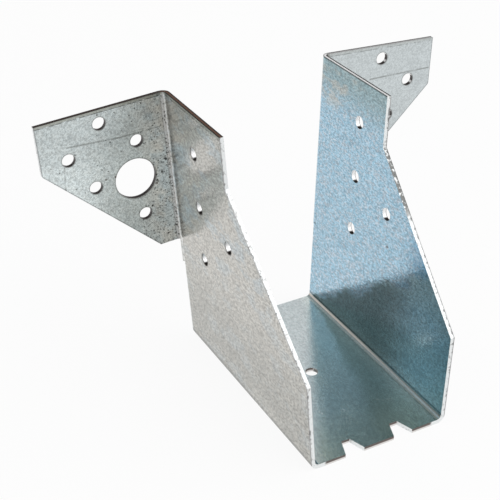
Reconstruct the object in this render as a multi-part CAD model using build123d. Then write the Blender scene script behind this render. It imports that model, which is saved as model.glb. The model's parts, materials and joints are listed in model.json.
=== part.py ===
from build123d import *
import os
from math import cos, radians, sin

# A beam hanger, folded from one galvanised steel sheet. Millimetres, +Z up.
# It is drawn with the header's face at y = 0, the top of the seat at z = 0 and the beam's centre line at
# x = 0, so that the beam runs towards -Y. It is moved once at the end, to stand on the middle of its base.
# On a wall, outlines are (along, up): along +Y from the header's face and up the wall from the seat.
# On a flange, they are (out, up): out from the inner face of its wall and up the fold.
# The flanges and the holes hang from the top edge, so their sizes are measured down from it.

# Sheet and folds
sheet = 1.5
bend_radius = 1.5  # inside radius of every fold
lean = 3.25  # degrees that each wall stands open from upright

# Seat
inside_width = 47.5  # between the walls, at the seat
seat_depth = 88.0  # from the header's face to the front edge
back_edge = -2.5  # where the seat and the lower walls stop, just short of the header
seat_hole = (0.0, -45.0)
notch_offset = 9.1  # of each notch from the centre line
notch_mouth = 7.0
notch_root = 3.0
notch_depth = 6.0

# Walls
wall_height = 96.0  # along the wall
wall_top_depth = 42.0  # from the header's face to the front of the top edge
short_edge = 17.9  # from the top edge down to where the long slope begins
front_height = 31.3  # where the slope meets the front edge

# Flanges
flange_reach = 46.2  # from the inner face of the wall to the outer edge
flange_edge = 17.6  # length of the outer edge
flange_toe = 9.1  # how far out the lowest corner lies
flange_drop = 56.0  # from the top edge to the bottom edge
flange_corner_radius = 1.0
curl_length = 9.2  # of the strip below the flange that was bent along with it
curl_angle = 45.0

# Holes
nail_hole = 4.5
bolt_hole = 14.5
nail_pitch = 20.0
nails_in_row = 3
row_drop = 14.8  # of the top nail hole in a wall
front_nail_drop = 39.8  # of the nail hole that stands forward of the row
left_nail_row = -20.7  # the rows are staggered, so that nails from both sides miss each other
right_nail_row = -27.3
flange_nails = [(24.8, 4.8), (12.9, 14.5), (36.7, 14.5), (29.0, 27.0), (13.1, 42.1)]  # (out, down)
flange_bolt = (14.9, 28.0)

# Worked out
bend_outside = bend_radius + sheet
half_width = inside_width / 2
rise = cos(radians(lean))
spread = sin(radians(lean))
shoulder_height = wall_height - short_edge
flange_foot = wall_height - flange_drop
curl_foot = flange_foot - curl_length
through = 4 * sheet  # length of a tool that goes right through the sheet


def channel():
    """The seat and both walls, at full height."""
    top_out = half_width + wall_height * spread
    top_up = wall_height * rise
    inner = FilletPolyline(
        (-top_out, top_up),
        (-half_width, 0),
        (half_width, 0),
        (top_out, top_up),
        radius=bend_radius,
    )
    outline = offset(inner, amount=sheet, side=Side.RIGHT, closed=True)
    section = Plane.XZ * make_face(outline)
    return Pos(0, back_edge, 0) * extrude(section, amount=seat_depth + back_edge)


def on_right_wall(shape):
    """Leans a shape drawn on an upright wall, whose inner face is x = 0, into the right wall's place."""
    return Pos(half_width, 0, 0) * Rot(0, lean, 0) * shape


def on_left_wall(shape):
    return mirror(on_right_wall(shape), Plane.YZ)


def wall_plate(*points):
    """A prism through an upright wall, over an outline of (along, up) points."""
    outline = make_face(Polyline(*points, close=True))
    return extrude(Plane.YZ * outline, amount=through, both=True)


def wall_waste():
    """What is cut away ahead of the wall's sloping front."""
    beyond = -seat_depth - through
    above = wall_height + through
    return wall_plate(
        (beyond, front_height),
        (-seat_depth, front_height),
        (-wall_top_depth, shoulder_height),
        (-wall_top_depth, above),
        (beyond, above),
    )


def fold_gap():
    """Makes room for the fold behind the wall, down to the foot of the curled strip."""
    above = wall_height + through
    return wall_plate(
        (-bend_outside, curl_foot),
        (through, curl_foot),
        (through, above),
        (-bend_outside, above),
    )


def fold(angle, bottom, top):
    """The wall's back edge, bent outward through an angle, between two heights."""
    centre = Pos(bend_outside, -bend_outside, bottom)
    ring = Circle(bend_outside) - Circle(bend_radius)
    wedge = make_face(
        Polyline(
            (0, 0),
            (-through, 0),
            (-through, through),
            (-through * cos(radians(angle)), through * sin(radians(angle))),
            close=True,
        )
    )
    return centre * extrude(ring & wedge, amount=top - bottom)


def flange():
    """The flat of the flange, from the end of its fold."""
    corner = (flange_reach, wall_height - flange_edge)
    outline = Polyline(
        (bend_outside, wall_height),
        (flange_reach, wall_height),
        corner,
        (flange_toe, flange_foot),
        (bend_outside, flange_foot),
        close=True,
    )
    face = make_face(outline)
    rounded = face.vertices().sort_by_distance((*corner, 0))[0]
    face = fillet(rounded, flange_corner_radius)
    plate = extrude(Plane.XZ * face, amount=sheet)
    punches = [(*place, nail_hole) for place in flange_nails]
    punches.append((*flange_bolt, bolt_hole))
    for out, down, width in punches:
        plate -= Pos(out, 0, wall_height - down) * Rot(90, 0, 0) * Cylinder(width / 2, through)
    return plate


def wall_nails(row):
    """Punches for one wall: nail holes in a row and one ahead of them."""
    places = [(row, row_drop + n * nail_pitch) for n in range(nails_in_row)]
    places.append((row - nail_pitch, front_nail_drop))
    punch = Rot(0, 90, 0) * Cylinder(nail_hole / 2, through)
    return [Pos(0, along, wall_height - down) * punch for along, down in places]


def seat_notch(x):
    """A tapered notch in the seat's front edge."""
    outline = Polyline(
        (x - notch_mouth / 2, -seat_depth),
        (x - notch_root / 2, -seat_depth + notch_depth),
        (x + notch_root / 2, -seat_depth + notch_depth),
        (x + notch_mouth / 2, -seat_depth),
        (x + notch_mouth / 2, -seat_depth - through),
        (x - notch_mouth / 2, -seat_depth - through),
        close=True,
    )
    return extrude(make_face(outline), amount=through, both=True)


def hanger():
    body = channel()
    for side in (on_left_wall, on_right_wall):
        body -= side(wall_waste())
        body -= side(fold_gap())
        body += side(fold(90, flange_foot, wall_height))
        body += side(fold(curl_angle, curl_foot, flange_foot))
        body += side(flange())
    for side, row in ((on_left_wall, left_nail_row), (on_right_wall, right_nail_row)):
        for punch in wall_nails(row):
            body -= side(punch)
    for x in (-notch_offset, notch_offset):
        body -= seat_notch(x)
    x, y = seat_hole
    body -= Pos(x, y, 0) * Cylinder(nail_hole / 2, through)
    return Pos(0, seat_depth / 2, sheet) * body


os.makedirs("parts", exist_ok=True)
export_step(hanger(), "parts/folded_hanger.step")
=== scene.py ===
"""A beam hanger of folded galvanised steel, dressed and lit for a studio picture."""

import json
import math
from types import SimpleNamespace

import bpy
from bpy.props import FloatProperty, FloatVectorProperty, PointerProperty
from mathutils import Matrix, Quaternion, Vector

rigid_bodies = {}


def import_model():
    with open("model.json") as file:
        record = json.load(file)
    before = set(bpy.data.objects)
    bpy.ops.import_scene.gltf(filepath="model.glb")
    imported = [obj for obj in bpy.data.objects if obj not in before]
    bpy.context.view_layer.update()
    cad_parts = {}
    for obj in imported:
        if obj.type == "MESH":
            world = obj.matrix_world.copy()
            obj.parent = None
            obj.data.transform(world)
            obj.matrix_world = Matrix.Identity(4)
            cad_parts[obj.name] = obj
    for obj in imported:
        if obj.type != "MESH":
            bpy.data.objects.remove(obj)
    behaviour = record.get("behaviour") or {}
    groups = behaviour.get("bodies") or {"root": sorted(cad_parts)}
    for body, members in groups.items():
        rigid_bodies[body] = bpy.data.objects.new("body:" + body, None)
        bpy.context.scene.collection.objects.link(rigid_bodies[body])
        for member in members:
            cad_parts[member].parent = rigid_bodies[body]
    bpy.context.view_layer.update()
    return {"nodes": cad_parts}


bl_info = {
    "name": "Beam Hanger",
    "version": (1, 0, 0),
    "blender": (4, 5, 0),
    "location": "View3D > Sidebar > Beam Hanger",
    "description": "Dresses a folded steel beam hanger and sets its studio",
    "category": "Object",
}

for leftover in list(bpy.data.objects):
    bpy.data.objects.remove(leftover)
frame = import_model()

MM_PER_M = 1000.0

# Sizes of the folded sheet, in millimetres and degrees, as the part's source has them
SHEET = 1.5
HALF_WIDTH = 23.75
LEAN = math.radians(3.25)
FOLD_OUTSIDE = 3.0
HEADER = 44.0  # where the header's face lies along Y
FLANGE_FRONT = HEADER - SHEET
WALL_HEIGHT = 96.0
FLANGE_REACH = 46.2
FLANGE_EDGE = 17.6
FLANGE_TOE = 9.1
FLANGE_DROP = 56.0
NAIL_HOLE = 4.5
BOLT_HOLE = 14.5
# Holes in each flange, from the inner face of its wall and down from the top edge, and their widths
FLANGE_HOLES = (
    (24.8, 4.8, NAIL_HOLE),
    (12.9, 14.5, NAIL_HOLE),
    (36.7, 14.5, NAIL_HOLE),
    (29.0, 27.0, NAIL_HOLE),
    (13.1, 42.1, NAIL_HOLE),
    (14.9, 28.0, BOLT_HOLE),
)
# Holes in the left and the right wall, from the header's face and down from the top edge
WALL_HOLES = {
    -1: ((-20.7, 14.8), (-20.7, 34.8), (-20.7, 54.8), (-40.7, 39.8)),
    1: ((-27.3, 14.8), (-27.3, 34.8), (-27.3, 54.8), (-47.3, 39.8)),
}

# The outer side's zinc
OUTER_LOW = (0.382, 0.384, 0.36)
# Painted shade at the top of the outer walls, towards the flanges' folds
OUTER_PAINTED_SHADE = (0.42, 0.42, 0.395)
OUTER_COOL = (0.43, 0.49, 0.52)
OUTER_WARM = (0.54, 0.51, 0.46)
# The flanges' fronts
FLANGE_WARM = (0.60, 0.61, 0.58)
BY_FOLD_WARM = (0.62, 0.62, 0.585)
BY_FOLD_COOL = (0.51, 0.57, 0.585)
RIGHT_FLANGE = (0.56, 0.605, 0.615)
# The inner walls
INNER_PALE = (0.54, 0.57, 0.61)
INNER_CRYSTALS = (0.23, 0.44, 0.56)
INNER_UPPER = (0.26, 0.345, 0.345)
INNER_STAIN = (0.46, 0.43, 0.38)
# A painted reflection of the seat, low down on the inner walls: light at the front, dark at the back
PAINTED_REFLECTION_FRONT = (0.58, 0.74, 0.78)
PAINTED_REFLECTION_BACK = (0.185, 0.27, 0.28)
# The seat
SEAT_LEFT = (0.35, 0.43, 0.44)
SEAT_MIDDLE = (0.31, 0.385, 0.38)
SEAT_FRONT = (0.42, 0.485, 0.425)
# A lighter painted reflection at the back left of the seat
SEAT_PAINTED_REFLECTION = (0.45, 0.49, 0.50)
# A painted highlight on the seat towards the folds
SEAT_PAINTED_HIGHLIGHT = (0.60, 0.63, 0.59)
SEAT_CRYSTALS = (0.32, 0.42, 0.43)
# Marks of the tools and of use, and painted shade and highlights along the folds and edges
SCRATCH = (0.80, 0.80, 0.76)
SCORED = (0.2, 0.21, 0.2)
PIT = (0.05, 0.05, 0.045)
SPOT = (0.10, 0.075, 0.06)
SCUFF = (0.66, 0.65, 0.60)
# Painted shade where the flanges' folds turn, and a painted highlight line where each wall begins
FLANGE_FOLD_PAINTED_SHADE = (0.30, 0.30, 0.29)
FLANGE_FOLD_PAINTED_HIGHLIGHT = (0.90, 0.92, 0.93)
FOLD_SPECK = (0.04, 0.04, 0.035)
# Painted shade under the outside of the seat's folds
OUTSIDE_BEND_PAINTED_SHADE = (0.11, 0.11, 0.105)
# Painted shade on the inner wall just above the seat's folds, painted shade over the bend and a painted
# highlight along it
FOOT_SHADE = (0.06, 0.09, 0.095)
FOOT_PAINTED_SHADE = (0.16, 0.20, 0.21)
FOOT_PAINTED_HIGHLIGHT = (0.72, 0.66, 0.60)
# Painted shade on the roll that the blade left under the top edges
BLADE_ROLL_PAINTED_SHADE = (0.30, 0.30, 0.25)
BLADE_LINE = (0.08, 0.08, 0.07)
# Painted shadow under the burr inside the top edges
INNER_BURR_PAINTED_SHADOW = (0.06, 0.08, 0.08)
HOLE_RING = (0.13, 0.12, 0.11)
FLANGE_OUTLINE = (0.16, 0.16, 0.16)
# Cut edges
BROKEN_AWAY = (0.38, 0.38, 0.38)
NICK = (0.3, 0.29, 0.28)
TORN = (0.10, 0.10, 0.095)
CHIP = (0.15, 0.15, 0.15)
BORE_BRIGHT = (0.98, 0.98, 0.98)
# Painted shade in the bores, low down where they face up and where they face back
BORE_SHADED = (0.02, 0.017, 0.015)
BORE_RIM = (0.10, 0.085, 0.075)
# Dark in the left flange's bores, and painted shade in the right flange's bores where they face up or
# sideways
BORE_DARK_AND_PAINTED_SHADE = (0.03, 0.023, 0.022)
SEAT_EDGE_FOOT = (0.75, 0.73, 0.71)
# A painted dark reflection on the seat's front edge, above its pale foot
SEAT_EDGE = (0.16, 0.135, 0.125)
TOP_BROWN = (0.04, 0.02, 0.012)
TOP_BROWN_RIM = (0.008, 0.007, 0.005)
TOP_BROWN_NICK = (0.012, 0.01, 0.008)
TOP_PALE = (0.85, 0.85, 0.85)
TOP_PALE_OUTER = (0.03, 0.025, 0.022)
TOP_PALE_INNER = (0.05, 0.05, 0.05)
TOP_GREY = (0.40, 0.40, 0.40)
TOP_GREY_BACK = (0.03, 0.028, 0.026)

# The inner walls' duller zinc, with a painted reflection of the seat on it, lies below a line that falls
# towards the back
DULL_AND_REFLECTION_FALL = 0.63
DULL_AND_REFLECTION_RAGGED = 6.5
DULL_AND_REFLECTION_LINE = (24.0, 27.5)
PAINTED_REFLECTION_SHARE = 0.85
# A lighter painted reflection lies on the seat to the left of a line that runs out to the right towards the
# back
SEAT_REFLECTION_RUN = 0.54
SEAT_REFLECTION_LINE = (-2.0, 4.0)

# How strongly the zinc's specks show on each face
SPECKS_OUTSIDE = 0.34
SPECKS_INSIDE = 0.30
SPECKS_ON_FLANGE = 0.26
SPECKS_ON_RIGHT_FLANGE = 0.14
SPECKS_ON_SEAT = 0.15
# The sizes of marks, in millimetres
CRYSTAL_SIZE = 0.8
SMALL_PITS = {"Spacing": 0.72, "Size": 0.27}
LARGE_PITS = {"Spacing": 1.7, "Size": 0.36}
SCRATCH_WIDTH = 0.35
SCORED_WIDTH = 0.4
OUTLINE_WIDTH = 0.5
# The relief of each mark, as a share of the bump's distance in metres
BUMP_DISTANCE = 0.00002
SPECK_HEIGHT = 0.25
CRYSTAL_HEIGHT = 0.15
WAVE_HEIGHT = 2.0
DENT_HEIGHT = 2.5
PIT_DEPTH = 0.8

CUT_ROUGHNESS = 0.5
FOLD_ROUGHNESS = 0.4
DULL_ROUGHNESS = 0.05  # more than the rest of the inner wall
SEAT_ROUGHNESS = 1.4  # times that of the inner wall

SEEN_SHARE = 0.92  # of the floor's white that the camera and polished metal see
FLOOR_DROP = 0.0001
LAMPS_AIM = (0.0, 0.0, 0.05)
# Each softbox has a name, a place, a width, a height and the brightness of its face
SOFTBOXES = (
    ("key", (0.50, -0.60, 0.90), 1.5, 1.5, 1.4),
    ("fill", (-0.90, -0.5, 0.70), 0.7, 0.7, 0.8),
    ("back", (0.135, 0.96, 0.76), 1.7, 0.45, 0.85),
)
HORIZON = (0.22, 0.42)  # heights between which the room dims
SENSOR_WIDTH = 36.0
NEAREST_SEEN = 0.01


def on_sheet(out, up, along):
    """The place of a point that lies out from the inner face of the right wall, up it and along Y."""
    across = HALF_WIDTH + out * math.cos(LEAN) + up * math.sin(LEAN)
    return (across, HEADER + along, SHEET - out * math.sin(LEAN) + up * math.cos(LEAN))


# Where the right flange's slanted edge begins and ends
SLANT_TOP = on_sheet(FLANGE_REACH, WALL_HEIGHT - FLANGE_EDGE, -SHEET)
SLANT_FOOT = on_sheet(FLANGE_TOE, WALL_HEIGHT - FLANGE_DROP, -SHEET)

# Lines that a tool has left on the flanges' fronts, each from (x, z) to (x, z)
SCORED_LINES = (
    ((-65.1, 85.4), (-47.4, 84.7)),
    ((-47.4, 84.7), (-32.2, 85.4)),
    ((-66.7, 78.5), (-67.0, 70.3)),
    ((49.0, 84.2), (74.0, 83.5)),
)

# Scratches on the seat, each from (x, y) to (x, y)
SEAT_SCRATCHES = (
    ((-1.4, -24.4), (-0.6, -25.6)),
    ((-3.8, -37.6), (-2.0, -38.6)),
    ((12.4, -26.4), (16.2, -27.2)),
    ((10.2, -24.0), (11.8, -25.6)),
    ((-9.0, -21.5), (-8.4, -23.5)),
)

# Dark spots, each with its radius
SPOTS = (
    (on_sheet(0.0, 45.0, -49.5), 0.6),
    (on_sheet(0.0, 31.7, -3.4), 0.6),
    ((-24.6, 5.2, 1.6), 0.8),
    ((-53.1, FLANGE_FRONT, 70.8), 0.5),
    ((-49.6, FLANGE_FRONT, 71.0), 0.5),
    ((-35.1, FLANGE_FRONT, 64.9), 0.5),
    ((-30.2, FLANGE_FRONT, 65.9), 0.5),
)


class SteelSettings(bpy.types.PropertyGroup):
    outer_colour: FloatVectorProperty(
        name="Outer side",
        description="Zinc on the side that faces out",
        subtype="COLOR",
        default=(0.51, 0.502, 0.47),
    )
    flange_colour: FloatVectorProperty(
        name="Flanges",
        description="Zinc on the flanges' fronts",
        subtype="COLOR",
        default=(0.58, 0.64, 0.645),
    )
    inner_colour: FloatVectorProperty(
        name="Inner walls",
        description="Bluish zinc inside the walls",
        subtype="COLOR",
        default=(0.383, 0.545, 0.66),
    )
    seat_colour: FloatVectorProperty(
        name="Seat",
        description="Zinc on the seat",
        subtype="COLOR",
        default=(0.34, 0.44, 0.445),
    )
    cut_colour: FloatVectorProperty(
        name="Bright cuts",
        description="Sheared and punched edges",
        subtype="COLOR",
        default=(0.83, 0.85, 0.85),
    )
    rust_colour: FloatVectorProperty(
        name="Brown cuts",
        description="The left wall's top edge, gone brown",
        subtype="COLOR",
        default=(0.12, 0.055, 0.03),
    )
    inner_roughness: FloatProperty(
        name="Inner roughness",
        description="How dull the inner side is",
        min=0.0,
        max=1.0,
        default=0.14,
    )
    outer_roughness: FloatProperty(
        name="Outer roughness",
        description="How dull the outer side is",
        min=0.0,
        max=1.0,
        default=0.22,
    )
    pits: FloatProperty(
        name="Pits",
        description="How many dark pits lie by the flanges' folds",
        min=0.0,
        max=1.0,
        default=0.85,
    )


class StudioSettings(bpy.types.PropertyGroup):
    floor_colour: FloatVectorProperty(
        name="Floor",
        description="Colour of the floor",
        subtype="COLOR",
        default=(0.93, 0.93, 0.93),
    )
    floor_size: FloatProperty(
        name="Floor size",
        description="Side of the floor",
        unit="LENGTH",
        default=12.0,
    )
    room_level: FloatProperty(
        name="Room light",
        description="Brightness of the room above the lamps",
        min=0.0,
        default=0.33,
    )
    camera_place: FloatVectorProperty(
        name="Camera",
        description="Where the camera stands",
        subtype="TRANSLATION",
        default=(-0.17335, -0.29634, 0.25579),
    )
    camera_aim: FloatVectorProperty(
        name="Aim",
        description="What the camera points at",
        subtype="TRANSLATION",
        default=(-0.0019, 0.0400, 0.030),
    )
    camera_roll: FloatProperty(
        name="Roll",
        description="How far the camera leans to its right",
        subtype="ANGLE",
        default=0.0256,
    )
    camera_lens: FloatProperty(
        name="Lens",
        description="Focal length in millimetres",
        default=87.9,
    )


def fill(tree, socket, value):
    """Sets a socket to a value, or links it to another node's output."""
    if isinstance(value, bpy.types.NodeSocket):
        tree.links.new(value, socket)
    else:
        socket.default_value = value


def add_node(tree, kind, inputs=(), **options):
    """Adds a node, sets its options and fills its inputs."""
    made = tree.nodes.new(kind)
    for name, value in options.items():
        setattr(made, name, value)
    for name, value in dict(inputs).items():
        fill(tree, made.inputs[name], value)
    return made


def calc(tree, operation, first, second=0.0):
    return add_node(tree, "ShaderNodeMath", {0: first, 1: second}, operation=operation).outputs[0]


def ramp(tree, value, low, high, at_low=0.0, at_high=1.0):
    """A smooth step from one value to another as the input goes from low to high."""
    inputs = {"Value": value, "From Min": low, "From Max": high, "To Min": at_low, "To Max": at_high}
    return add_node(tree, "ShaderNodeMapRange", inputs, interpolation_type="SMOOTHSTEP").outputs["Result"]


def fade(tree, value, low, high):
    """One up to low, and nothing from high on."""
    return ramp(tree, value, low, high, 1.0, 0.0)


def band(tree, value, centre, half, soft):
    """One where the value is within half of the centre, fading to nothing over soft."""
    away = calc(tree, "ABSOLUTE", calc(tree, "SUBTRACT", value, centre))
    return fade(tree, away, half, half + soft)


def unless(tree, mask):
    return calc(tree, "SUBTRACT", 1.0, mask)


def chain(tree, operation, made, *others):
    for other in others:
        made = calc(tree, operation, made, other)
    return made


def total(tree, *values):
    return chain(tree, "ADD", *values)


def both(tree, *masks):
    """All the masks or shares multiplied together."""
    return chain(tree, "MULTIPLY", *masks)


def either(tree, *masks):
    return chain(tree, "MAXIMUM", *masks)


def swing(tree, value, reach):
    """Turns a value from 0 to 1 into one that swings by half of reach to each side of zero."""
    return both(tree, calc(tree, "SUBTRACT", value, 0.5), reach)


def mix_colour(tree, mask, off, on, blend="MIX"):
    made = add_node(tree, "ShaderNodeMix", {"Factor": mask}, data_type="RGBA", blend_type=blend)
    for socket, value in ((made.inputs[6], off), (made.inputs[7], on)):
        fill(tree, socket, value if isinstance(value, bpy.types.NodeSocket) else (*value, 1.0))
    return made.outputs[2]


def mix_value(tree, mask, off, on):
    return add_node(tree, "ShaderNodeMix", {0: mask, 2: off, 3: on}).outputs[0]


def layers(tree, colour, *laid):
    """A colour with others laid over it in turn, each where its mask says."""
    for mask, over in laid:
        colour = mix_colour(tree, mask, colour, over)
    return colour


def shade_colour(tree, colour, shade):
    """The colour, made darker below one and lighter above it."""
    grey = add_node(tree, "ShaderNodeCombineColor", {"Red": shade, "Green": shade, "Blue": shade})
    return mix_colour(tree, 1.0, colour, grey.outputs[0], "MULTIPLY")


def new_group(name, inputs, outputs):
    """An empty shader node group. Gives the tree, its input node and its output node."""
    tree = bpy.data.node_groups.new(name, "ShaderNodeTree")
    for label, kind, default in inputs:
        socket = tree.interface.new_socket(label, in_out="INPUT", socket_type="NodeSocket" + kind)
        if default is not None:
            socket.default_value = default
    for label, kind in outputs:
        tree.interface.new_socket(label, in_out="OUTPUT", socket_type="NodeSocket" + kind)
    return tree, tree.nodes.new("NodeGroupInput"), tree.nodes.new("NodeGroupOutput")


def use_group(tree, group, **inputs):
    made = tree.nodes.new("ShaderNodeGroup")
    made.node_tree = group
    for name, value in inputs.items():
        fill(tree, made.inputs[name], value)
    return made


def noise(tree, place, size, detail=2.0, roughness=0.5):
    """Noise whose features are about size millimetres across."""
    inputs = {"Vector": place, "Scale": 1.0 / size, "Detail": detail, "Roughness": roughness}
    return add_node(tree, "ShaderNodeTexNoise", inputs).outputs["Fac"]


def blotches(tree, place, size, low, high, detail=2.0, roughness=0.5):
    """Noise pushed apart, so that it is one above high and nothing below low."""
    return ramp(tree, noise(tree, place, size, detail, roughness), low, high)


def ragged_blotches(tree, place, size, low, high):
    """Blotches with finely broken edges."""
    return blotches(tree, place, size, low, high, detail=3.0, roughness=0.7)


def scaled(tree, place, scale):
    return add_node(tree, "ShaderNodeVectorMath", {0: place, "Scale": scale}, operation="SCALE").outputs[0]


def distance(tree, first, second):
    inputs = {0: first, 1: second}
    return add_node(tree, "ShaderNodeVectorMath", inputs, operation="DISTANCE").outputs["Value"]


def zinc_grain_group():
    """The mottling of hot-dip zinc, drawn out along the sheet's run: specks, crystals and slow waves."""
    tree, given, result = new_group(
        "zinc grain",
        [("Place", "Vector", None), ("Crystal", "Float", 1.0)],
        [
            ("Specks", "Float"),
            ("Crystals", "Float"),
            ("Tint", "Float"),
            ("Patches", "Float"),
            ("Waves", "Float"),
        ],
    )
    inputs = {0: given.outputs["Place"], 1: (1.0, 0.5, 1.0)}
    drawn_out = add_node(tree, "ShaderNodeVectorMath", inputs, operation="MULTIPLY").outputs[0]
    by_crystal = scaled(tree, drawn_out, calc(tree, "DIVIDE", 1.0, given.outputs["Crystal"]))
    from_middle = calc(tree, "SUBTRACT", noise(tree, by_crystal, 1.0, detail=1.0), 0.5)
    values = {
        "Specks": blotches(tree, drawn_out, 0.6, 0.3, 0.7, roughness=0.7),
        "Crystals": fade(tree, calc(tree, "ABSOLUTE", from_middle), 0.0, 0.09),
        "Tint": blotches(tree, by_crystal, 1.7, 0.32, 0.68, roughness=0.6),
        "Patches": blotches(tree, drawn_out, 7.0, 0.3, 0.7, detail=4.0, roughness=0.6),
        "Waves": noise(tree, drawn_out, 14.0, detail=1.0),
    }
    for name, value in values.items():
        tree.links.new(value, result.inputs[name])
    return tree


def pits_group():
    """Small dark pits, as many as the density says."""
    tree, given, result = new_group(
        "pits",
        [
            ("Place", "Vector", None),
            ("Spacing", "Float", 2.0),
            ("Density", "Float", 0.5),
            ("Size", "Float", 0.3),
        ],
        [("Pits", "Float")],
    )
    place, spacing, density, size = (given.outputs[index] for index in range(4))
    inputs = {"Vector": place, "Scale": calc(tree, "DIVIDE", 1.0, spacing)}
    cells = add_node(tree, "ShaderNodeTexVoronoi", inputs)
    random = add_node(tree, "ShaderNodeSeparateColor", {"Color": cells.outputs["Color"]})
    chosen = calc(tree, "LESS_THAN", random.outputs["Red"], density)
    uneven = swing(tree, noise(tree, place, 0.5), 0.6)
    away = total(tree, both(tree, cells.outputs["Distance"], spacing), uneven)
    size = both(tree, size, total(tree, random.outputs["Green"], 0.4))
    near = fade(tree, calc(tree, "DIVIDE", away, size), 0.6, 1.2)
    tree.links.new(both(tree, chosen, near), result.inputs["Pits"])
    return tree


def scored_line_group():
    """A thin line between two points."""
    tree, given, result = new_group(
        "scored line",
        [
            ("Place", "Vector", None),
            ("Start", "Vector", None),
            ("End", "Vector", None),
            ("Width", "Float", 0.3),
        ],
        [("Line", "Float")],
    )
    place, start, end, width = (given.outputs[index] for index in range(4))

    def vector(operation, *inputs):
        return add_node(tree, "ShaderNodeVectorMath", dict(enumerate(inputs)), operation=operation)

    run = vector("SUBTRACT", end, start).outputs[0]
    from_start = vector("SUBTRACT", place, start).outputs[0]
    along = vector("DOT_PRODUCT", from_start, run).outputs["Value"]
    whole = vector("DOT_PRODUCT", run, run).outputs["Value"]
    share = add_node(tree, "ShaderNodeClamp", {"Value": calc(tree, "DIVIDE", along, whole)}).outputs[0]
    nearest = scaled(tree, run, share)
    away = vector("LENGTH", vector("SUBTRACT", from_start, nearest).outputs[0]).outputs["Value"]
    line = fade(tree, calc(tree, "DIVIDE", away, width), 0.4, 1.0)
    tree.links.new(line, result.inputs["Line"])
    return tree


def near_hole_group():
    """One around a hole, out to a little past its rim."""
    tree, given, result = new_group(
        "near hole",
        [("Place", "Vector", None), ("Centre", "Vector", None), ("Radius", "Float", 2.0)],
        [("Near", "Float")],
    )
    away = distance(tree, given.outputs["Place"], given.outputs["Centre"])
    past = calc(tree, "SUBTRACT", away, given.outputs["Radius"])
    tree.links.new(fade(tree, past, 0.3, 0.5), result.inputs["Near"])
    return tree


def sheet_place(tree):
    """Where a point is on the sheet, in millimetres, and which way it faces.

    Both halves of the sheet are alike in side, out, climb, down and depth. Out runs from the wall's inner
    face, climb up the wall from the seat and down from the top edge. Depth goes from 0 on the inner and
    back side of a fold to SHEET on its outer and front side.
    """
    here = add_node(tree, "ShaderNodeTexCoord").outputs["Object"]
    place = scaled(tree, here, MM_PER_M)
    x, y, z = add_node(tree, "ShaderNodeSeparateXYZ", {0: place}).outputs
    facing = add_node(tree, "ShaderNodeNewGeometry").outputs["Normal"]
    nx, ny, nz = add_node(tree, "ShaderNodeSeparateXYZ", {0: facing}).outputs
    side = calc(tree, "ABSOLUTE", x)
    side_place = add_node(tree, "ShaderNodeCombineXYZ", {"X": side, "Y": y, "Z": z}).outputs[0]

    beside = calc(tree, "SUBTRACT", side, HALF_WIDTH)
    above = calc(tree, "SUBTRACT", z, SHEET)
    out = calc(tree, "SUBTRACT", both(tree, beside, math.cos(LEAN)), both(tree, above, math.sin(LEAN)))
    climb = total(tree, both(tree, beside, math.sin(LEAN)), both(tree, above, math.cos(LEAN)))
    down = calc(tree, "SUBTRACT", WALL_HEIGHT, climb)

    from_wall = calc(tree, "MAXIMUM", calc(tree, "SUBTRACT", FOLD_OUTSIDE, out), 0.0)
    from_header = calc(tree, "MAXIMUM", calc(tree, "SUBTRACT", y, HEADER - FOLD_OUTSIDE), 0.0)
    squares = (calc(tree, "POWER", part, 2.0) for part in (from_wall, from_header))
    from_fold = calc(tree, "SQRT", total(tree, *squares))
    depth = calc(tree, "SUBTRACT", FOLD_OUTSIDE, from_fold)
    across, along, level = (calc(tree, "ABSOLUTE", part) for part in (nx, ny, nz))
    return SimpleNamespace(
        place=place,
        side_place=side_place,
        x=x,
        y=y,
        z=z,
        side=side,
        out=out,
        climb=climb,
        down=down,
        depth=depth,
        ny=ny,
        nz=nz,
        across=across,
        along=along,
        level=level,
        towards=both(tree, nx, x),
    )


def hole_mask(tree, at):
    """One around every hole but the seat's. The flanges are alike, and the rows of nail holes aren't."""
    group = near_hole_group()
    masks = []
    for out, down, width in FLANGE_HOLES:
        centre = on_sheet(out, WALL_HEIGHT - down, -SHEET / 2)
        masks.append(use_group(tree, group, Place=at.side_place, Centre=centre, Radius=width / 2))
    for side, holes in WALL_HOLES.items():
        for along, down in holes:
            x, y, z = on_sheet(SHEET / 2, WALL_HEIGHT - down, along)
            centre = (side * x, y, z)
            masks.append(use_group(tree, group, Place=at.place, Centre=centre, Radius=NAIL_HOLE / 2))
    return either(tree, *(mask.outputs["Near"] for mask in masks))


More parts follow.
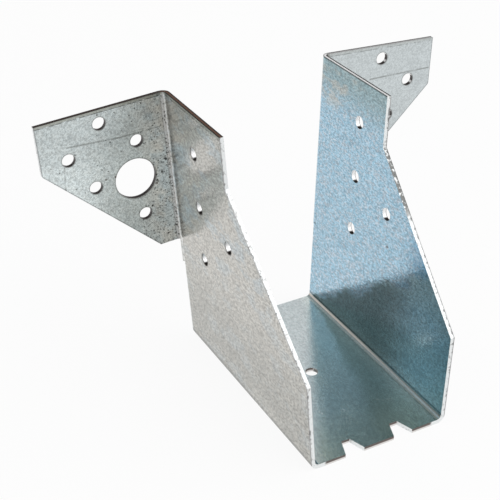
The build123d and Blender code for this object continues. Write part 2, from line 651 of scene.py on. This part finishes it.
def sheet_faces(tree, at):
    """Masks of the sheet's faces, cut edges, holes and folds."""
    behind = ramp(tree, at.y, FLANGE_FRONT - 0.3, FLANGE_FRONT - 0.1)
    ahead = fade(tree, at.y, FLANGE_FRONT - 0.6, FLANGE_FRONT - 0.4)
    before_back = fade(tree, at.y, HEADER - 0.9, HEADER - 0.7)

    wall_cut = both(tree, ahead, fade(tree, at.across, 0.1, 0.3), ramp(tree, at.z, 4.0, 4.5))
    front_cut = both(tree, ahead, fade(tree, at.ny, -0.8, -0.6))
    cut = either(
        tree,
        both(tree, behind, fade(tree, at.along, 0.1, 0.3)),
        wall_cut,
        front_cut,
        both(tree, fade(tree, at.level, 0.1, 0.3), fade(tree, at.side, 19.0, 20.0)),
        both(tree, ramp(tree, at.ny, 0.8, 0.9), before_back),
    )
    top_cut = both(tree, ramp(tree, at.nz, 0.6, 0.9), fade(tree, at.down, 1.0, 2.0))
    seat_front = both(tree, front_cut, fade(tree, at.z, 1.6, 1.9), fade(tree, at.side, 19.5, 20.5))
    near_holes = hole_mask(tree, at)

    upright = ramp(tree, at.across, 0.4, 0.7)
    inward = both(tree, upright, fade(tree, at.towards, -8.0, 0.0))
    outward = both(tree, ahead, upright, ramp(tree, at.towards, 0.0, 8.0))
    seat_top = both(tree, ramp(tree, at.nz, 0.5, 0.9), fade(tree, at.z, 2.0, 4.0))
    flange_front = both(tree, behind, fade(tree, at.ny, -0.9, -0.6))

    to_fold = ramp(tree, at.y, HEADER - FOLD_OUTSIDE - 0.1, HEADER - FOLD_OUTSIDE + 0.1)
    in_fold = both(tree, to_fold, fade(tree, at.out, FOLD_OUTSIDE - 0.1, FOLD_OUTSIDE + 0.2))
    in_fold = both(tree, in_fold, ramp(tree, at.depth, SHEET - 0.2, SHEET - 0.1), unless(tree, top_cut))
    foot = both(tree, fade(tree, at.z, 4.5, 5.0), unless(tree, cut))
    in_foot = both(tree, foot, ramp(tree, at.nz, 0.1, 0.25), ramp(tree, at.across, 0.1, 0.2))
    return SimpleNamespace(
        left=fade(tree, at.x, -1.0, 1.0),
        behind=behind,
        cut=cut,
        wall_cut=wall_cut,
        top_cut=top_cut,
        seat_front=seat_front,
        near_holes=near_holes,
        hole=both(tree, cut, near_holes),
        inward=inward,
        outward=outward,
        seat_top=seat_top,
        flange_front=flange_front,
        faced=either(tree, flange_front, outward),
        in_fold=in_fold,
        foot=foot,
        in_foot=in_foot,
    )


def outer_zinc(tree, at, zinc, settings):
    """Warm grey, darker low down, with painted shade at the top by the folds, and bluish in patches."""
    low = fade(tree, at.climb, 12.0, 45.0)
    # Painted shade at the top, towards the folds
    painted_top_shade = both(tree, fade(tree, at.down, 8.0, 26.0), ramp(tree, at.y, 8.0, 30.0))
    cool = ramp(tree, zinc.patches, 0.45, 0.9, 0.0, ramp(tree, at.climb, 30.0, 60.0, 0.35, 0.8))
    warm = both(tree, zinc.tint, 0.35)
    laid = ((low, OUTER_LOW), (painted_top_shade, OUTER_PAINTED_SHADE), (cool, OUTER_COOL), (warm, OUTER_WARM))
    return layers(tree, settings.outer_colour, *laid)


def flange_zinc(tree, at, on, zinc, settings):
    """Pale, with warm and cool patches beside the fold, and darker along the top. The right one is plain."""
    by_fold = mix_colour(tree, ramp(tree, zinc.patches, 0.3, 0.9), BY_FOLD_WARM, BY_FOLD_COOL)
    lift = ramp(tree, at.down, 10.0, 22.0, 0.94, 1.16)
    lift = both(tree, lift, ramp(tree, at.down, 32.0, 44.0, 1.0, 0.93))
    laid = ((both(tree, zinc.tint, 0.25), FLANGE_WARM), (fade(tree, at.out, 3.0, 16.0), by_fold))
    colour = layers(tree, settings.flange_colour, *laid)
    return mix_colour(tree, on.left, RIGHT_FLANGE, shade_colour(tree, colour, lift))


def dull_zinc_and_reflection_mask(tree, at, zinc):
    """One on the lower front part of the inner walls, with a ragged upper edge, where the zinc is duller and
    carries a painted reflection.
    """
    ragged = swing(tree, zinc.patches, DULL_AND_REFLECTION_RAGGED)
    return fade(tree, total(tree, at.climb, ragged, both(tree, at.y, DULL_AND_REFLECTION_FALL)), *DULL_AND_REFLECTION_LINE)


def inner_zinc(tree, at, zinc, settings, dull):
    """Pale and blue, darker at the top, stained by the top of the fold, and low down in front a painted
    reflection of the seat, light at the front and dark at the back.
    """
    upper = both(tree, fade(tree, at.down, 2.0, 18.0), 0.75)
    stained = both(
        tree,
        ramp(tree, at.y, 14.0, 24.0),
        fade(tree, at.down, 12.0, 18.0),
        ramp(tree, zinc.patches, 0.35, 0.8),
        0.6,
    )
    # A painted reflection of the seat, light at the front and dark at the back
    below = mix_colour(tree, ramp(tree, at.y, -34.0, 0.0), PAINTED_REFLECTION_FRONT, PAINTED_REFLECTION_BACK)
    pale = ramp(tree, zinc.tint, 0.25, 1.0, 0.0, 0.6)
    return layers(
        tree,
        settings.inner_colour,
        (pale, INNER_PALE),
        (both(tree, zinc.crystals, 0.75), INNER_CRYSTALS),
        (upper, INNER_UPPER),
        (stained, INNER_STAIN),
        (both(tree, dull, PAINTED_REFLECTION_SHARE), below),
    )


def seat_zinc(tree, at, zinc, settings):
    """Green-grey, paler at the front edge, with a painted highlight towards the folds and a lighter painted
    reflection at the back left.
    """
    # A lighter painted reflection lies to the left of this line
    reflection_side = calc(tree, "SUBTRACT", at.x, both(tree, at.y, SEAT_REFLECTION_RUN))
    return layers(
        tree,
        SEAT_LEFT,
        (ramp(tree, at.x, -14.0, 2.0), SEAT_MIDDLE),
        (ramp(tree, at.x, 4.0, 16.0), settings.seat_colour),
        (fade(tree, at.y, -44.0, -15.0), SEAT_FRONT),
        (fade(tree, reflection_side, *SEAT_REFLECTION_LINE), SEAT_PAINTED_REFLECTION),
        (ramp(tree, at.side, 17.0, 22.5, 0.0, 0.35), SEAT_PAINTED_HIGHLIGHT),
        (both(tree, zinc.crystals, 0.25), SEAT_CRYSTALS),
    )


def add_specks(tree, on, zinc, colour):
    """The zinc's specks, strongest on the outer side and faintest on the right flange and the seat."""
    right_flange = both(tree, on.flange_front, unless(tree, on.left))
    contrast = mix_value(tree, right_flange, SPECKS_ON_FLANGE, SPECKS_ON_RIGHT_FLANGE)
    contrast = mix_value(tree, on.outward, contrast, SPECKS_OUTSIDE)
    contrast = mix_value(tree, on.inward, contrast, SPECKS_INSIDE)
    contrast = mix_value(tree, on.seat_top, contrast, SPECKS_ON_SEAT)
    shade = swing(tree, zinc.specks, both(tree, contrast, 2.0))
    uneven = ramp(tree, zinc.patches, 0.0, 1.0, -0.03, 0.03)
    return shade_colour(tree, colour, total(tree, shade, 1.0, uneven))


def pits_mask(tree, at, on, zinc, settings):
    """Pits, thickest beside the flanges' folds and along their slanted edges."""
    low_slant = both(tree, ramp(tree, at.down, 36.0, 46.0), fade(tree, at.out, 16.0, 26.0))
    thick = either(tree, fade(tree, at.out, 4.0, 17.0), low_slant)
    thick = both(tree, on.flange_front, thick, ramp(tree, at.down, 3.0, 20.0, 0.3, 1.0))
    many = both(tree, thick, ramp(tree, zinc.patches, 0.1, 0.55, 0.3, 1.0), settings.pits)
    many = total(tree, many, both(tree, on.flange_front, 0.03))
    many = both(tree, many, mix_value(tree, on.left, 0.2, 1.0))
    few = both(tree, many, 0.7)
    group = pits_group()
    small = use_group(tree, group, Place=at.place, Density=many, **SMALL_PITS)
    large = use_group(tree, group, Place=at.place, Density=few, **LARGE_PITS)
    return either(tree, both(tree, small.outputs["Pits"], 0.75), large.outputs["Pits"])


def drawn_lines(tree, group, place, lines, width):
    """One along each line, which is given by its two ends."""
    drawn = [use_group(tree, group, Place=place, Start=start, End=end, Width=width) for start, end in lines]
    return either(tree, *(line.outputs["Line"] for line in drawn))


def mark_faces(tree, at, on, zinc, line, colour):
    """Scratches on the seat and scored lines on the flanges."""
    scratches = [((x0, y0, SHEET), (x1, y1, SHEET)) for (x0, y0), (x1, y1) in SEAT_SCRATCHES]
    flecks = drawn_lines(tree, line, at.place, scratches, SCRATCH_WIDTH)
    broken = ramp(tree, noise(tree, at.place, 0.8), 0.45, 0.6, 0.05, 0.6)
    scored = [((x0, FLANGE_FRONT, z0), (x1, FLANGE_FRONT, z1)) for (x0, z0), (x1, z1) in SCORED_LINES]
    lines = drawn_lines(tree, line, at.place, scored, SCORED_WIDTH)
    faint = ramp(tree, zinc.patches, 0.1, 0.6, 0.4, 1.0)
    return layers(
        tree,
        colour,
        (both(tree, flecks, on.seat_top, broken), SCRATCH),
        (both(tree, lines, on.flange_front, faint, 0.6), SCORED),
    )


def mark_flange_folds(tree, at, on, colour):
    """The flanges' folds: painted shade where they turn, with specks, and a broken line of painted highlight
    where each wall begins.
    """
    turned = fade(tree, at.across, 0.65, 0.85)
    broken = ramp(tree, noise(tree, at.place, 0.9, detail=1.0), 0.38, 0.52, 0.25, 1.0)
    specks = blotches(tree, at.place, 0.8, 0.58, 0.64, detail=1.0)
    return layers(
        tree,
        colour,
        (both(tree, on.in_fold, turned, 0.75), FLANGE_FOLD_PAINTED_SHADE),
        (both(tree, on.in_fold, unless(tree, turned), broken, 0.5), FLANGE_FOLD_PAINTED_HIGHLIGHT),
        (both(tree, on.in_fold, turned, specks, 0.8), FOLD_SPECK),
    )


def mark_seat_folds(tree, at, on, zinc, colour):
    """The seat's folds: painted shade under them outside, with pale scuffs above, and inside a line of
    painted shade on the wall, painted shade over the bend and a painted highlight along it.
    """
    # Painted shade under the outside of the fold
    shade_under_fold = both(
        tree,
        fade(tree, at.climb, 1.2, 2.6),
        ramp(tree, at.across, 0.3, 0.9),
        unless(tree, on.cut),
        fade(tree, at.nz, -0.04, 0.0),
        ramp(tree, zinc.patches, 0.0, 0.7, 0.35, 0.65),
    )
    scuffs = both(
        tree,
        on.outward,
        fade(tree, at.climb, 3.0, 8.0),
        ramp(tree, at.y, -36.0, -24.0),
        fade(tree, at.y, -8.0, 4.0),
        ragged_blotches(tree, at.place, 1.2, 0.45, 0.65),
        0.55,
    )
    shade = both(
        tree,
        on.foot,
        on.inward,
        ramp(tree, at.climb, 1.4, 1.6),
        fade(tree, at.climb, 1.8, 2.6),
        0.7,
    )
    return layers(
        tree,
        colour,
        (shade_under_fold, OUTSIDE_BEND_PAINTED_SHADE),
        (scuffs, SCUFF),
        (shade, FOOT_SHADE),
        (both(tree, on.in_foot, 0.35), FOOT_PAINTED_SHADE),
        (both(tree, on.in_foot, ramp(tree, at.across, 0.6, 0.75), 0.8), FOOT_PAINTED_HIGHLIGHT),
    )


def mark_edges(tree, at, on, line, colour):
    """A band of painted shade on the roll that the blade left under the top edges, the line that the blade
    left, a line of painted shadow under the burr inside, rings round the holes, and an outline.
    """
    # Painted shade on the roll that the blade left under the top edges
    blade = both(tree, on.faced, fade(tree, at.down, 0.6, 0.8), mix_value(tree, on.left, 0.25, 0.7))
    breaks = ragged_blotches(tree, at.place, 2.2, 0.35, 0.55)
    strength = mix_value(tree, on.left, 0.5, 0.8)
    blade_line = both(tree, on.faced, band(tree, at.down, 0.9, 0.08, 0.17), breaks, strength)
    # Painted shadow under the burr, just inside the top edges
    burr_shadow = both(tree, on.inward, fade(tree, at.down, 0.25, 0.5), 0.8)
    ring = both(tree, on.near_holes, unless(tree, on.cut), on.faced, 0.5)
    slant = drawn_lines(tree, line, at.side_place, [(SLANT_TOP, SLANT_FOOT)], OUTLINE_WIDTH)
    outer_end = ramp(tree, at.out, FLANGE_REACH - 0.4, FLANGE_REACH - 0.2)
    outline = both(tree, either(tree, slant, outer_end), on.flange_front, 0.5)
    return layers(
        tree,
        colour,
        (blade, BLADE_ROLL_PAINTED_SHADE),
        (blade_line, BLADE_LINE),
        (burr_shadow, INNER_BURR_PAINTED_SHADOW),
        (ring, HOLE_RING),
        (outline, FLANGE_OUTLINE),
    )


def mark_spots(tree, at, dark_pits, colour):
    """The pits, and the few dark spots that stand alone."""
    uneven = swing(tree, noise(tree, at.place, 0.8), 0.8)
    spots = []
    for centre, radius in SPOTS:
        away = total(tree, distance(tree, at.place, centre), uneven)
        spots.append(fade(tree, away, radius * 0.6, radius))
    laid = ((both(tree, dark_pits, 0.9), PIT), (both(tree, either(tree, *spots), 0.75), SPOT))
    return layers(tree, colour, *laid)


def bore_colour(tree, at, on):
    """Punched bores: bright, with painted shade low down where they face up and where they face back, dark
    beside the face that broke away, and dark in the flanges: all through on the left, and on the right as
    painted shade where they face up or sideways.
    """
    # Painted shade where the bores face back and up, and low down where they face up
    forward = both(tree, ramp(tree, at.ny, -0.1, 0.2), ramp(tree, at.nz, 0.0, 0.2))
    shaded = either(tree, ramp(tree, at.nz, 0.74, 0.92), forward)
    rim = both(tree, ramp(tree, at.depth, SHEET - 0.3, SHEET - 0.15), 0.8)
    # Painted shade in the right flange's bores where they face up or sideways
    facing_shade = either(tree, ramp(tree, at.nz, 0.7, 0.8), ramp(tree, at.across, 0.85, 0.93))
    brown = both(tree, on.behind, either(tree, on.left, facing_shade), 0.93)
    return layers(tree, BORE_BRIGHT, (shaded, BORE_SHADED), (rim, BORE_RIM), (brown, BORE_DARK_AND_PAINTED_SHADE))


def cut_colour(tree, at, on, nicks, settings):
    """Sheared edges: bright, with a dull line beside the face that broke away."""
    broken_away = ramp(tree, at.depth, SHEET - 0.4, SHEET - 0.2)
    torn = both(
        tree,
        ramp(tree, at.x, 0.0, 1.0),
        ramp(tree, at.y, -18.0, -12.0),
        ramp(tree, at.ny, -0.95, -0.85),
        blotches(tree, at.place, 1.1, 0.36, 0.5),
        0.85,
    )
    chipped = ragged_blotches(tree, at.place, 1.2, 0.52, 0.6)
    chips = both(tree, on.wall_cut, ramp(tree, at.depth, 0.7, 1.0), chipped, 0.8)
    # The seat's front edge: pale at its foot, with a painted dark reflection above
    seat_edge = mix_colour(tree, ramp(tree, at.z, 0.5, 0.8), SEAT_EDGE_FOOT, SEAT_EDGE)
    return layers(
        tree,
        settings.cut_colour,
        (broken_away, BROKEN_AWAY),
        (both(tree, nicks, 0.6), NICK),
        (torn, TORN),
        (chips, CHIP),
        (on.hole, bore_colour(tree, at, on)),
        (on.seat_front, seat_edge),
    )


def top_colour(tree, at, on, nicks, settings):
    """Top edges: brown on the left, and on the right bright along the wall and grey along the flange."""
    rim = either(tree, fade(tree, at.depth, 0.3, 0.5), ramp(tree, at.depth, SHEET - 0.5, SHEET - 0.35))
    brown = layers(
        tree,
        settings.rust_colour,
        (ramp(tree, at.out, 1.7, 3.0), TOP_BROWN),
        (rim, TOP_BROWN_RIM),
        (both(tree, nicks, 0.5), TOP_BROWN_NICK),
    )
    grey = mix_colour(tree, ramp(tree, at.depth, 0.45, 0.6), TOP_GREY_BACK, TOP_GREY)
    return layers(
        tree,
        TOP_PALE,
        (ramp(tree, at.depth, 0.85, 1.0), TOP_PALE_OUTER),
        (fade(tree, at.depth, 0.1, 0.35), TOP_PALE_INNER),
        (ramp(tree, at.out, 1.6, 3.0), grey),
        (on.left, brown),
    )


def sheet_roughness(tree, on, zinc, settings, dull, dark_pits):
    seat = settings.inner_roughness * SEAT_ROUGHNESS
    roughness = mix_value(tree, on.seat_top, settings.outer_roughness, seat)
    roughness = mix_value(tree, on.inward, roughness, settings.inner_roughness)
    roughness = total(tree, roughness, both(tree, on.inward, dull, DULL_ROUGHNESS))
    roughness = mix_value(tree, on.in_foot, roughness, FOLD_ROUGHNESS)
    roughness = total(tree, roughness, ramp(tree, zinc.patches, 0.0, 1.0, -0.02, 0.03))
    return mix_value(tree, either(tree, on.cut, on.top_cut, dark_pits), roughness, CUT_ROUGHNESS)


def sheet_height(tree, at, on, zinc, dark_pits):
    """Specks, crystals and slow waves in the zinc, dents inside the walls, and pits."""
    specks = both(tree, zinc.specks, SPECK_HEIGHT)
    crystals = both(tree, zinc.crystals, CRYSTAL_HEIGHT)
    waves = both(tree, zinc.waves, WAVE_HEIGHT)
    dents = both(tree, noise(tree, at.place, 4.5, roughness=0.6), both(tree, on.inward, DENT_HEIGHT))
    raised = total(tree, specks, crystals, waves, dents)
    return calc(tree, "SUBTRACT", raised, both(tree, dark_pits, PIT_DEPTH))


def galvanised_steel(settings):
    """Zinc-coated sheet. Where each finish lies comes from the place on the sheet and the way it faces."""
    material = bpy.data.materials.new("galvanised steel")
    material.use_nodes = True
    tree = material.node_tree
    shader = tree.nodes["Principled BSDF"]
    at = sheet_place(tree)
    on = sheet_faces(tree, at)
    grain = use_group(tree, zinc_grain_group(), Place=at.place, Crystal=CRYSTAL_SIZE)
    zinc = SimpleNamespace(**{socket.name.lower(): socket for socket in grain.outputs})
    # The inner walls' duller zinc, which also carries a painted reflection
    dull = dull_zinc_and_reflection_mask(tree, at, zinc)
    dark_pits = pits_mask(tree, at, on, zinc, settings)
    line = scored_line_group()

    colour = layers(
        tree,
        outer_zinc(tree, at, zinc, settings),
        (on.flange_front, flange_zinc(tree, at, on, zinc, settings)),
        (on.seat_top, seat_zinc(tree, at, zinc, settings)),
        (on.inward, inner_zinc(tree, at, zinc, settings, dull)),
    )
    colour = add_specks(tree, on, zinc, colour)
    colour = mark_faces(tree, at, on, zinc, line, colour)
    colour = mark_flange_folds(tree, at, on, colour)
    colour = mark_seat_folds(tree, at, on, zinc, colour)
    colour = mark_edges(tree, at, on, line, colour)
    colour = mark_spots(tree, at, dark_pits, colour)
    nicks = ragged_blotches(tree, at.place, 1.3, 0.56, 0.66)
    colour = layers(
        tree,
        colour,
        (on.cut, cut_colour(tree, at, on, nicks, settings)),
        (on.top_cut, top_colour(tree, at, on, nicks, settings)),
    )

    roughness = sheet_roughness(tree, on, zinc, settings, dull, dark_pits)
    height = sheet_height(tree, at, on, zinc, dark_pits)
    bump = add_node(tree, "ShaderNodeBump", {"Height": height, "Distance": BUMP_DISTANCE, "Strength": 1.0})
    shader.inputs["Metallic"].default_value = 1.0
    tree.links.new(colour, shader.inputs["Base Color"])
    tree.links.new(roughness, shader.inputs["Roughness"])
    tree.links.new(bump.outputs["Normal"], shader.inputs["Normal"])
    return material


class HANGER_OT_dress_sheet(bpy.types.Operator):
    """Gives the folded sheet its zinc, its cut edges and the marks of use"""

    bl_idname = "hanger.dress_sheet"
    bl_label = "Folded Sheet"

    def execute(self, context):
        sheet = frame["nodes"]["folded_hanger"]
        sheet.material_slots[0].material = galvanised_steel(context.scene.hanger_steel)
        return {"FINISHED"}


def floor_material(colour):
    """A matt floor that the camera and polished metal see as white, and that keeps the object's shadow."""
    material = bpy.data.materials.new("studio floor")
    material.use_nodes = True
    tree = material.node_tree
    tree.nodes.remove(tree.nodes["Principled BSDF"])
    matt = add_node(tree, "ShaderNodeBsdfDiffuse", {"Color": (*colour, 1.0)})
    glow = add_node(tree, "ShaderNodeEmission", {"Color": (1.0, 1.0, 1.0, 1.0), "Strength": 1.0})
    path = add_node(tree, "ShaderNodeLightPath")
    rays = ("Is Camera Ray", "Is Glossy Ray", "Is Transmission Ray")
    seen = either(tree, *(path.outputs[name] for name in rays))
    inputs = {0: both(tree, seen, SEEN_SHARE), 1: matt.outputs[0], 2: glow.outputs[0]}
    mixed = add_node(tree, "ShaderNodeMixShader", inputs)
    tree.links.new(mixed.outputs[0], tree.nodes["Material Output"].inputs["Surface"])
    return material


def studio_floor(settings):
    half = settings.floor_size / 2
    corners = [(-half, -half, 0), (half, -half, 0), (half, half, 0), (-half, half, 0)]
    mesh = bpy.data.meshes.new("floor")
    mesh.from_pydata(corners, [], [(0, 1, 2, 3)])
    mesh.materials.append(floor_material(settings.floor_colour))
    floor = bpy.data.objects.new("floor", mesh)
    floor.location.z = -FLOOR_DROP
    return floor


def studio_room(level):
    """A room that is white at the horizon and dimmer overhead."""
    world = bpy.data.worlds.new("studio")
    world.use_nodes = True
    tree = world.node_tree
    background = tree.nodes["Background"]
    direction = add_node(tree, "ShaderNodeTexCoord").outputs["Generated"]
    height = add_node(tree, "ShaderNodeSeparateXYZ", {0: direction}).outputs["Z"]
    overhead = ramp(tree, height, *HORIZON, 1.0, level)
    path = add_node(tree, "ShaderNodeLightPath")
    brightness = either(tree, overhead, path.outputs["Is Camera Ray"])
    background.inputs["Color"].default_value = (1.0, 1.0, 1.0, 1.0)
    tree.links.new(brightness, background.inputs["Strength"])
    return world


def softbox(name, place, width, height, brightness):
    """A rectangular lamp whose face has the given brightness, where 1 is white."""
    lamp = bpy.data.lights.new(name, "AREA")
    lamp.shape = "RECTANGLE"
    lamp.size = width
    lamp.size_y = height
    lamp.energy = brightness * math.pi * width * height
    made = bpy.data.objects.new(name, lamp)
    made.location = place
    made.rotation_mode = "QUATERNION"
    made.rotation_quaternion = (Vector(LAMPS_AIM) - Vector(place)).to_track_quat("-Z", "Y")
    return made


def studio_camera(settings):
    lens = bpy.data.cameras.new("camera")
    lens.sensor_width = SENSOR_WIDTH
    lens.lens = settings.camera_lens
    lens.clip_start = NEAREST_SEEN
    camera = bpy.data.objects.new("camera", lens)
    place, aim = Vector(settings.camera_place), Vector(settings.camera_aim)
    level = (aim - place).to_track_quat("-Z", "Y")
    camera.rotation_mode = "QUATERNION"
    camera.rotation_quaternion = level @ Quaternion((0, 0, 1), -settings.camera_roll)
    camera.location = place
    return camera


class HANGER_OT_set_studio(bpy.types.Operator):
    """Lays the floor, hangs the lamps and stands the camera where the photograph was taken"""

    bl_idname = "hanger.set_studio"
    bl_label = "Studio"

    def execute(self, context):
        scene = context.scene
        settings = scene.hanger_studio
        floor = studio_floor(settings)
        camera = studio_camera(settings)
        for item in (floor, *(softbox(*each) for each in SOFTBOXES), camera):
            scene.collection.objects.link(item)
        scene.camera = camera
        scene.world = studio_room(settings.room_level)
        scene.view_settings.view_transform = "Standard"
        return {"FINISHED"}


class HANGER_PT_panel(bpy.types.Panel):
    """Lists the hanger's pieces and their settings"""

    bl_idname = "HANGER_PT_panel"
    bl_label = "Beam Hanger"
    bl_space_type = "VIEW_3D"
    bl_region_type = "UI"
    bl_category = "Beam Hanger"

    def draw(self, context):
        for operator, group in (
            (HANGER_OT_dress_sheet, context.scene.hanger_steel),
            (HANGER_OT_set_studio, context.scene.hanger_studio),
        ):
            box = self.layout.box()
            box.operator(operator.bl_idname)
            for name in group.__annotations__:
                box.prop(group, name)


CLASSES = (
    SteelSettings,
    StudioSettings,
    HANGER_OT_dress_sheet,
    HANGER_OT_set_studio,
    HANGER_PT_panel,
)


def register():
    for item in CLASSES:
        bpy.utils.register_class(item)
    bpy.types.Scene.hanger_steel = PointerProperty(type=SteelSettings)
    bpy.types.Scene.hanger_studio = PointerProperty(type=StudioSettings)


def unregister():
    del bpy.types.Scene.hanger_studio
    del bpy.types.Scene.hanger_steel
    for item in reversed(CLASSES):
        bpy.utils.unregister_class(item)


def main():
    register()
    bpy.ops.hanger.dress_sheet()
    bpy.ops.hanger.set_studio()


if __name__ == "__main__":
    main()
